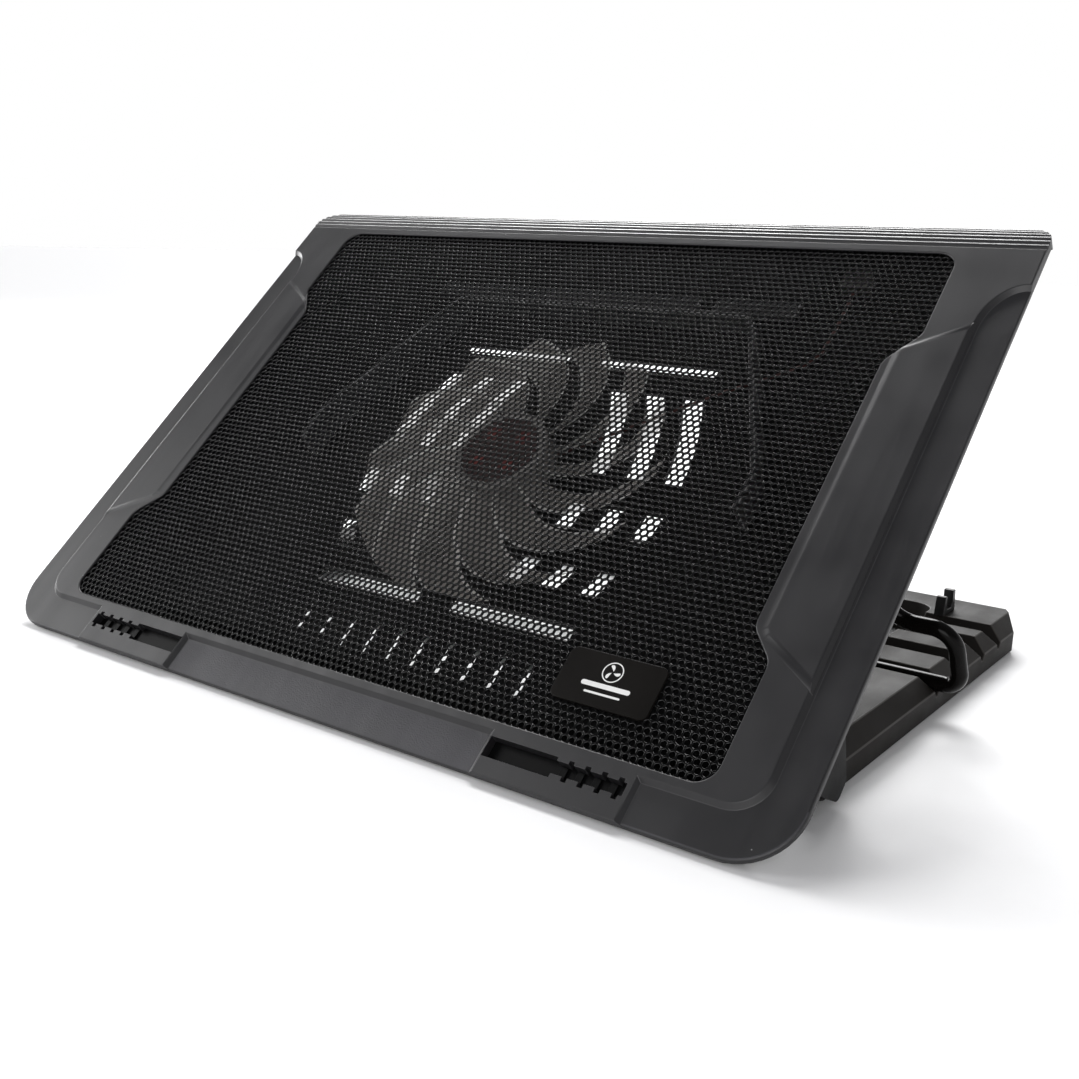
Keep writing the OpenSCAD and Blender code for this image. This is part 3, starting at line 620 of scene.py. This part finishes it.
def side_pad():
    """A gentle ramp on three sides, and outside one slope with the step down to the band."""
    outer_x = CREASE_X + 6
    edge = rounded([(outer_x, PAD_OUTER_Y[0], 1), (outer_x, PAD_OUTER_Y[1], 1),
                    (PAD_X, PAD_INNER_Y[1], PAD_R), (PAD_X, PAD_INNER_Y[0], PAD_R)], 6)
    pad = stacked("pad", lambda d: grown(edge, d),
                  [(1.6, -1), (1.6, -0.03), (-0.8, PAD_RISE * 0.85), (-2.0, PAD_RISE)])
    slope = [(1.1, -3), (1.1, BAND), (-0.7, PAD_RISE - 0.25), (-1.4, PAD_RISE),
             (-1.4, PAD_RISE + 1)]
    return combine(pad, "INTERSECT", loft("limit", [
        ([(140, 40), (CREASE_X + d, 40), (CREASE_X + d, 240), (140, 240)], z)
        for d, z in slope]))


def cut_slots(slab):
    """The two front slots, each with a row of notches in its narrow part."""
    for side in (1, -1):
        cuts = [(SLOT_X[0], SLOT_X[1], SLOT_Y[0], SLOT_Y[3]),
                (SLOT_X[1] - 1, SLOT_X[2], SLOT_Y[1], SLOT_Y[2])]
        cuts += [(SLOT_X[1] + NOTCH_X[0] + i * NOTCH, SLOT_X[1] + NOTCH_X[1] + i * NOTCH,
                  SLOT_Y[0], SLOT_Y[3]) for i in range(NOTCHES)]
        for x0, x1, y0, y1 in cuts:
            combine(slab, "DIFFERENCE", block("cut", min(side * x0, side * x1),
                                              max(side * x0, side * x1), y0, y1, -9, 5))


def top_shell():
    slab = stacked("top_shell", panel_outline, [
        (0, SHELL_LOW), (0, BAND - 0.9), (0.12, BAND - 0.5), (0.42, BAND - 0.2), (0.9, BAND)])
    combine(slab, "INTERSECT", block("limit", -200, 200, -5, ROLL_Y, -10, 10))
    combine(slab, "UNION", top_plane(), rear_roll())
    right = side_pad()
    left = mirrored(right)
    combine(slab, "UNION", right, left)
    combine(slab, "DIFFERENCE",
            stacked("opening", mesh_outline,
                    [(0, -8), (0, -0.5), (0.12, -0.2), (0.5, 0.0), (0.5, 3)]),
            stacked("rebate", mesh_outline, [(REBATE, -8), (REBATE, MESH_TOP)]))
    cut_slots(slab)
    clean(slab, 0.5)
    soften(slab, 0.16, angle=38)
    # the sunk band at the front has a coarser grain
    for p in slab.data.polygons:
        flat, low = p.normal.z > 0.9, p.center.z < BAND + 0.3
        if p.material_index == 0 and flat and low and p.center.y < BAND_GRAIN_Y:
            p.material_index = 2
    finish_piece(slab, "panel", [M["shell"], M["shell_edge"], M["band"]],
                 ["top_frame"], PANEL)


# ---------------------------------------------------------------- mesh

def inside(points, outline):
    """Which of the points lie inside the outline."""
    x, y = points[:, 0], points[:, 1]
    result = np.zeros(len(points), bool)
    ring = np.array(outline)
    for (x0, y0), (x1, y1) in zip(ring, np.roll(ring, -1, axis=0)):
        crosses = (y0 > y) != (y1 > y)
        if y0 != y1:
            result ^= crosses & (x < (x1 - x0) * (y - y0) / (y1 - y0) + x0)
    return result


def perforated_mesh():
    """Sheet with staggered rounded holes: each hexagonal cell is a ring round its hole."""
    tall = (PITCH ** 2 / 4 + ROW ** 2) / (2 * ROW)
    short = (ROW ** 2 - PITCH ** 2 / 4) / (2 * ROW)
    cell = np.array([(0, tall), (-PITCH / 2, short), (-PITCH / 2, -short), (0, -tall),
                     (PITCH / 2, -short), (PITCH / 2, short)])
    centres = np.array([((i + 0.5 * (j % 2)) * PITCH, HOLES_Y + j * ROW)
                        for j in range(HOLE_ROWS) for i in range(-HALF_ROW, HALF_ROW + 1)])
    centres = centres[inside(centres, mesh_outline(SHEET_EDGE))]
    top, low = MESH_TOP, MESH_TOP - MESH_T
    # a cell's rings, as (share of the cell, height): flat web, rounded rim, wall of the hole
    rings = [(1.0, top), (0.83, top), (0.765, top - 0.07), (0.735, top - 0.22), (0.735, low)]
    verts = np.concatenate([np.column_stack([cell * s, np.full(6, z)]) for s, z in rings])
    count, per = len(centres), len(verts)
    grid = np.repeat(verts[None], count, axis=0)
    grid[:, :, 0] += centres[:, None, 0]
    grid[:, :, 1] += centres[:, None, 1]
    quads = np.array([[r * 6 + k, r * 6 + (k + 1) % 6, (r + 1) * 6 + (k + 1) % 6,
                       (r + 1) * 6 + k] for r in range(len(rings) - 1) for k in range(6)])
    faces = (quads[None] + (np.arange(count) * per)[:, None, None]).reshape(-1, 4)
    ring_of_face = np.tile(np.repeat(np.arange(len(rings) - 1), 6), count)
    mesh = bpy.data.meshes.new("perforated_mesh")
    mesh.vertices.add(count * per)
    mesh.vertices.foreach_set("co", grid.reshape(-1))
    mesh.loops.add(len(faces) * 4)
    mesh.loops.foreach_set("vertex_index", faces.reshape(-1).astype(np.int32))
    mesh.polygons.add(len(faces))
    mesh.polygons.foreach_set("loop_start", np.arange(len(faces), dtype=np.int32) * 4)
    mesh.polygons.foreach_set("use_smooth", np.ones(len(faces), bool))
    mesh.materials.append(None)
    mesh.materials.append(None)
    # rims and walls take the glossier paint with the painted highlight
    mesh.polygons.foreach_set("material_index", (ring_of_face > 0).astype(np.int32))
    mesh.update(calc_edges=True)
    mesh.validate()
    finish_piece(linked("perforated_mesh", mesh), "panel", [M["mesh"], M["mesh_rim"]],
                 ["mesh_grille"], PANEL)


# ---------------------------------------------------------------- label

def box_outline(mid, half, r):
    """Rectangle with rounded corners."""
    return rounded([(mid[0] + sx * half[0], mid[1] + sy * half[1], r)
                    for sx, sy in ((-1, -1), (1, -1), (1, 1), (-1, 1))])


def label():
    plate = stacked("label_badge", lambda m: box_outline(LABEL_MID, [h - m for h in LABEL_HALF],
                                                         LABEL_R - m),
                    [(0, MESH_TOP), (0, -0.3), (0.1, -0.12), (0.35, 0)])
    smooth(plate)
    finish_piece(plate, "panel", [M["label"]], ["label_plate"], PANEL)


def petal(middle, direction, points=16):
    """Outline of one of the sign's petals, which is narrow at its root and a little curled."""
    out = []
    for k in range(points):
        s = k / points * math.tau
        u, v = 1.75 + 1.25 * math.cos(s), 0.95 * math.sin(s) * (0.6 + 0.4 * math.cos(s))
        turn = direction + 0.16 * u
        out.append((middle[0] + u * math.cos(turn) - v * math.sin(turn),
                    middle[1] + u * math.sin(turn) + v * math.cos(turn)))
    return out


def label_sign():
    """A plain fan sign in a ring, with two bars under it."""
    cx, cy = LABEL_MID
    low, high = SIGN_Z
    middle = (cx, cy + 3.6)
    outlines = [petal(middle, math.radians(90 + 120 * k)) for k in range(3)]
    rim = lathe("rim", [(3.5, low), (3.9, low), (3.9, high), (3.5, high)], 48)
    rim.data.transform(Matrix.Translation((*middle, 0)))
    outlines += [box_outline((cx, cy + y), (half, thick), thick * 0.95)
                 for y, half, thick in ((-2.2, 9.5, 0.9), (-5.2, 7.0, 0.4))]
    parts = [loft("part", [(outline, low), (outline, high)]) for outline in outlines]
    finish_piece(join("label_sign", parts[:3] + [rim] + parts[3:]), "panel",
                 [M["ink"]], (), PANEL)


# ---------------------------------------------------------------- fan

def blade_point(t, s, height):
    """Point on a blade: t from hub to tip, s across, height over its middle sheet."""
    root = HUB_R - 0.8                                  # it starts inside the hub's wall
    r = root + (TIP_R - root) * t
    a = math.radians(33 * t * t + s * (15 - 4 * t))     # swept back, and narrower at the tip
    z = BLADE_Z - 1.5 - s * 5 * (1 - 0.12 * t) - 0.8 * (1 - s * s)
    return (r * math.cos(a), r * math.sin(a), z + height)


def fan_blades(along=18, across=12):
    """Blades of along by across faces on each of their two sides."""
    width = 2 * across
    verts, faces = [], []
    for b in range(BLADES):
        turn = Matrix.Rotation(math.tau * b / BLADES, 3, "Z")
        start = len(verts)
        for i in range(along + 1):
            t, tip = i / along, i == along
            for k in range(width):
                up = k < across
                s = -1 + 2 * (k / across) if up else 1 - 2 * ((k - across) / across)
                thick = (0.62 - 0.2 * t) * math.sqrt(max(0.02, 1 - s ** 6))
                if tip:
                    thick, s = thick * 0.35, s * 0.985
                verts.append(turn @ Vector(blade_point(t, s, thick if up else -thick)))
            if i:
                p, q = start + (i - 1) * width, start + i * width
                faces += [[p + k, q + k, q + (k + 1) % width, p + (k + 1) % width]
                          for k in range(width)]
        end = start + along * width
        faces += [[start + k for k in range(width)], [end + k for k in range(width - 1, -1, -1)]]
    blades = new_object("fan_blades", verts, faces)
    blades.data.materials.append(None)
    blades.data.materials.append(None)
    face_outwards(blades)
    # the blades' thin edges are painted lighter, a painted highlight, and are less clear than
    # their sheets
    per_blade = along * width + 2
    for i, p in enumerate(blades.data.polygons):
        p.material_index = int(i % per_blade % width in (0, across - 1, across, width - 1))
    smooth(blades, 60)
    finish_piece(blades, "rotor", [M["blade"], M["blade_edge"]], (), FAN)


def fan_hub():
    """Cup over the motor, with a shallow seat for the tinted disc."""
    top, r = HUB_TOP, HUB_R
    inner, seat = r - 1.8, 17.75
    hub = lathe("fan_hub", [
        (inner, HUB_LOW), (r, HUB_LOW), (r, top - 1.2), (r - 0.15, top - 0.5),
        (r - 0.5, top - 0.15), (r - 1.2, top), (seat + 0.55, top), (seat + 0.1, top - 0.2),
        (seat, top - 0.6), (seat, top - 1.2), (1.5, top - 1.2), (1.5, top - 2.2),
        (inner, top - 2.2)])
    smooth(hub, 50)
    finish_piece(hub, "rotor", [M["hub"]], ["fan_rotor"], FAN)
    cap = lathe("hub_disc", [(0, top - 1.2), (17.7, top - 1.2), (17.7, top - 0.35),
                             (17.5, top - 0.17), (17.1, top - 0.1), (0, top - 0.1)])
    face_outwards(cap)
    smooth(cap, 50)
    finish_piece(cap, "rotor", [M["cap"]], ["hub_cap"], FAN)


# ---------------------------------------------------------------- wire bail

def wire():
    """The bail's bar, ears and legs, in the plane that leans from the crossbar to the pivot."""
    pivot = Vector(joints["bail_swing"]["pos_m"])
    front_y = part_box("base_frame")[1].y - BASE_REAR * MM    # the panel's front edge
    bar = Vector((0, CROSSBAR[0] * MM + front_y, CROSSBAR[1] * MM))
    leg = (pivot - bar).length / MM
    lean = math.atan2(pivot.z - bar.z, pivot.y - bar.y)
    place = Matrix.Translation(bar) @ Matrix.Rotation(lean, 4, "X") @ METRES
    # corners of the right half, as (out from the middle, up from the crossbar, bend)
    corners = [(185.2, 0, 6.2), (183.1, 25.4, 10), (154.4, 25.5, 14), (154.4, leg, 3.4)]
    chain = [(0, 0)] + [c[:2] for c in corners] + [(144.9, leg)]
    line = []
    for i, (x, y, r) in enumerate(corners):
        line += fillet(chain[i], (x, y), chain[i + 2], r, WIRE_ARC)
    line.append(Vector(chain[-1]))
    path = [(-p.x, p.y, 0) for p in reversed(line)] + [(p.x, p.y, 0) for p in line]
    obj = tube("bail_bar", path, WIRE_R, 28)
    smooth(obj, 50)
    finish_piece(obj, "bail", [M["wire"]], ["bail_wire"], place)


# ---------------------------------------------------------------- small parts

def islands(bm):
    """The vertices' places of each connected part."""
    seen, found = set(), []
    for first in bm.verts:
        if first in seen:
            continue
        seen.add(first)
        queue, places = [first], []
        while queue:
            v = queue.pop()
            places.append(v.co.copy())
            for e in v.link_edges:
                other = e.other_vert(v)
                if other not in seen:
                    seen.add(other)
                    queue.append(other)
        found.append(places)
    return found


def screw_places(node):
    """Where the CAD node has its screws, in the panel's frame: {(x, y): (lowest z, highest z)}.

    An island is a whole screw, or its head and shank apart, so those at one place are joined."""
    bm = bmesh.new()
    bm.from_mesh(frame["nodes"][node].data)
    bmesh.ops.transform(bm, matrix=PANEL.inverted(), verts=bm.verts)
    bmesh.ops.remove_doubles(bm, verts=bm.verts, dist=0.02)
    found = {}
    for places in islands(bm):
        xs, ys, zs = zip(*places)
        key = (round((min(xs) + max(xs)) / 2), round((min(ys) + max(ys)) / 2))
        low, high = found.get(key, (min(zs), max(zs)))
        found[key] = (min(low, min(zs)), max(high, max(zs)))
    bm.free()
    return found


def screw_set(name, node, head_r, head_h):
    """Pan-head screws with cross recesses, whose heads are under the panel."""
    parts = []
    for (x, y), (z0, z1) in screw_places(node).items():
        screw = lathe("screw", [
            (0, z0), (head_r * 0.55, z0 + 0.02), (head_r * 0.85, z0 + 0.18 * head_h),
            (head_r, z0 + 0.6 * head_h), (head_r, z0 + head_h), (SHANK_R, z0 + head_h),
            (SHANK_R, z1), (0, z1)], 40)
        face_outwards(screw)
        narrow, long = head_r * 0.14, head_r * 0.6
        for a, b in ((narrow, long), (long, narrow)):
            combine(screw, "DIFFERENCE",
                    block("recess", -a, a, -b, b, z0 - 1, z0 + 0.55 * head_h))
        screw.data.transform(Matrix.Translation((x, y, 0)))
        parts.append(screw)
    obj = join(name, parts)
    smooth(obj)
    finish_piece(obj, "panel", [M["screw"]], [node], PANEL)


def rounded_copy(name, node, body, materials, width, segments=2, pierced=False):
    """A CAD node with rounded edges. A second material is for the edges' painted highlight, and
    pierced for a node with holes through its large faces."""
    obj = from_cad(name, node)
    if pierced:
        split_faces(obj)
    soften(obj, width, segments, painted_edge_highlight=len(materials) > 1, clamp=pierced)
    finish_piece(obj, body, materials, [node], METRES)


top_shell()
perforated_mesh()
label()
label_sign()
fan_blades()
fan_hub()
wire()
rounded_copy("cover_shell", "bottom_cover", "panel", [M["cover"], M["cover_edge"]],
             0.3, pierced=True)
rounded_copy("base_ring", "base_frame", "base", [M["base"], M["base_edge"]], 0.45, 3)
rounded_copy("catch_prongs", "bail_catches", "base", [M["catch"]], 0.3)
rounded_copy("shroud_ring", "fan_shroud", "panel", [M["shroud"], M["shroud_edge"]],
             0.3)
for side in ("left", "right"):
    rounded_copy("rack_" + side, "stop_rack_" + side, "panel", [M["rack"]], 0.12)
    rounded_copy("clip_" + side, "bail_clip_" + side, "panel", [M["clip"]], 0.3)
    rounded_copy("pin_" + side, "hinge_pin_" + side, "base", [M["pin"]], 0.3)
rounded_copy("foot_pads", "rubber_feet", "base", [M["feet"]], 0.25)
rounded_copy("socket_shell", "power_inlet", "panel", [M["nickel"]], 0.15)
screw_set("cover_screw_set", "cover_screws", 2.4, 1.4)
screw_set("clip_screw_set", "clip_screws", 2.2, 1.0)
screw_set("motor_screw_set", "motor_screws", 2.2, 1.0)
for node, mat in (("motor_board", "board"), ("motor_stator", "winding"),
                  ("bearing_sleeve", "brass"), ("motor_leds", "led"), ("fan_lead", "lead"),
                  ("rotor_magnet", "magnet"), ("fan_shaft", "steel")):
    for material_slot in frame["nodes"][node].material_slots:
        material_slot.material = M[mat]

# ---------------------------------------------------------------- studio

FLOOR_HALF = 9
floor = new_object("studio_floor", [(-FLOOR_HALF, -FLOOR_HALF, 0), (FLOOR_HALF, -FLOOR_HALF, 0),
                                    (FLOOR_HALF, FLOOR_HALF, 0), (-FLOOR_HALF, FLOOR_HALF, 0)],
                   [[0, 1, 2, 3]])
floor.data.materials.append(surface("studio_floor_paint", (0.86, 0.86, 0.865), 0.75, grain=3,
                                    bump=0.02, mottle=0.01))

scene = bpy.context.scene
# the sky is white near the horizon and dim overhead
scene.world = bpy.data.worlds.new("studio")
scene.world.use_nodes = True
tree = scene.world.node_tree
coord = tree.nodes.new("ShaderNodeTexCoord")
split = tree.nodes.new("ShaderNodeSeparateXYZ")
ramp = tree.nodes.new("ShaderNodeValToRGB")
background = tree.nodes["Background"]
tree.links.new(coord.outputs["Generated"], split.inputs[0])
tree.links.new(split.outputs["Z"], ramp.inputs["Fac"])
tree.links.new(ramp.outputs["Color"], background.inputs["Color"])
SKY = ((0.22, (1, 1, 1, 1)), (0.5, (0.20, 0.20, 0.21, 1)))    # height of the direction, colour
for stop, (height, colour) in zip(ramp.color_ramp.elements, SKY):
    stop.position, stop.color = height, colour
background.inputs["Strength"].default_value = 1.0


def area_light(name, place, target, size, power):
    data = bpy.data.lights.new(name, "AREA")
    data.shape, data.size, data.size_y = "RECTANGLE", size[0], size[1]
    data.energy = power
    obj = linked(name, data)
    obj.location = place
    obj.rotation_euler = (Vector(target) - Vector(place)).to_track_quat("-Z", "Y").to_euler()
    obj.visible_camera = False


area_light("softbox_left", (-1.4, -0.85, 1.25), (0, -0.05, 0.05), (1.0, 0.9), 9)
area_light("softbox_rear", (-1.1, 1.2, 1.35), (0, 0.1, 0.08), (1.4, 0.6), 17)
area_light("glow_under", (-1.3, 0.1, 0.2), (0, 0.02, 0), (0.9, 0.3), 9)
area_light("fill_front", (0.7, -1.8, 0.8), (0, -0.1, 0), (1.4, 1.0), 14)

SUN_POWER, SUN_SPREAD, SUN_FROM = 3.5, math.radians(36), Vector((-0.40, 0.68, 0.62))
sun_data = bpy.data.lights.new("sun_rear", "SUN")
sun_data.energy, sun_data.angle = SUN_POWER, SUN_SPREAD
linked("sun_rear", sun_data).rotation_euler = SUN_FROM.to_track_quat("Z", "Y").to_euler()

# the camera's direction and roll are in degrees
CAMERA_PLACE, AZIMUTH, ELEVATION, ROLL = (0.3197, -0.4408, 0.1730), 125.71, -13.27, 2.01
SENSOR, LENS, NEAR = 36, 42.12, 0.01
camera_data = bpy.data.cameras.new("camera")
camera_data.sensor_width, camera_data.lens, camera_data.clip_start = SENSOR, LENS, NEAR
camera = linked("camera", camera_data)
azimuth, elevation, roll = (math.radians(a) for a in (AZIMUTH, ELEVATION, ROLL))
forward = Vector((math.cos(elevation) * math.cos(azimuth),
                  math.cos(elevation) * math.sin(azimuth), math.sin(elevation)))
turned = forward.to_track_quat("-Z", "Y").to_matrix() @ Matrix.Rotation(roll, 3, "Z")
camera.matrix_world = Matrix.Translation(CAMERA_PLACE) @ turned.to_4x4()
scene.camera = camera
scene.view_settings.view_transform = "Standard"
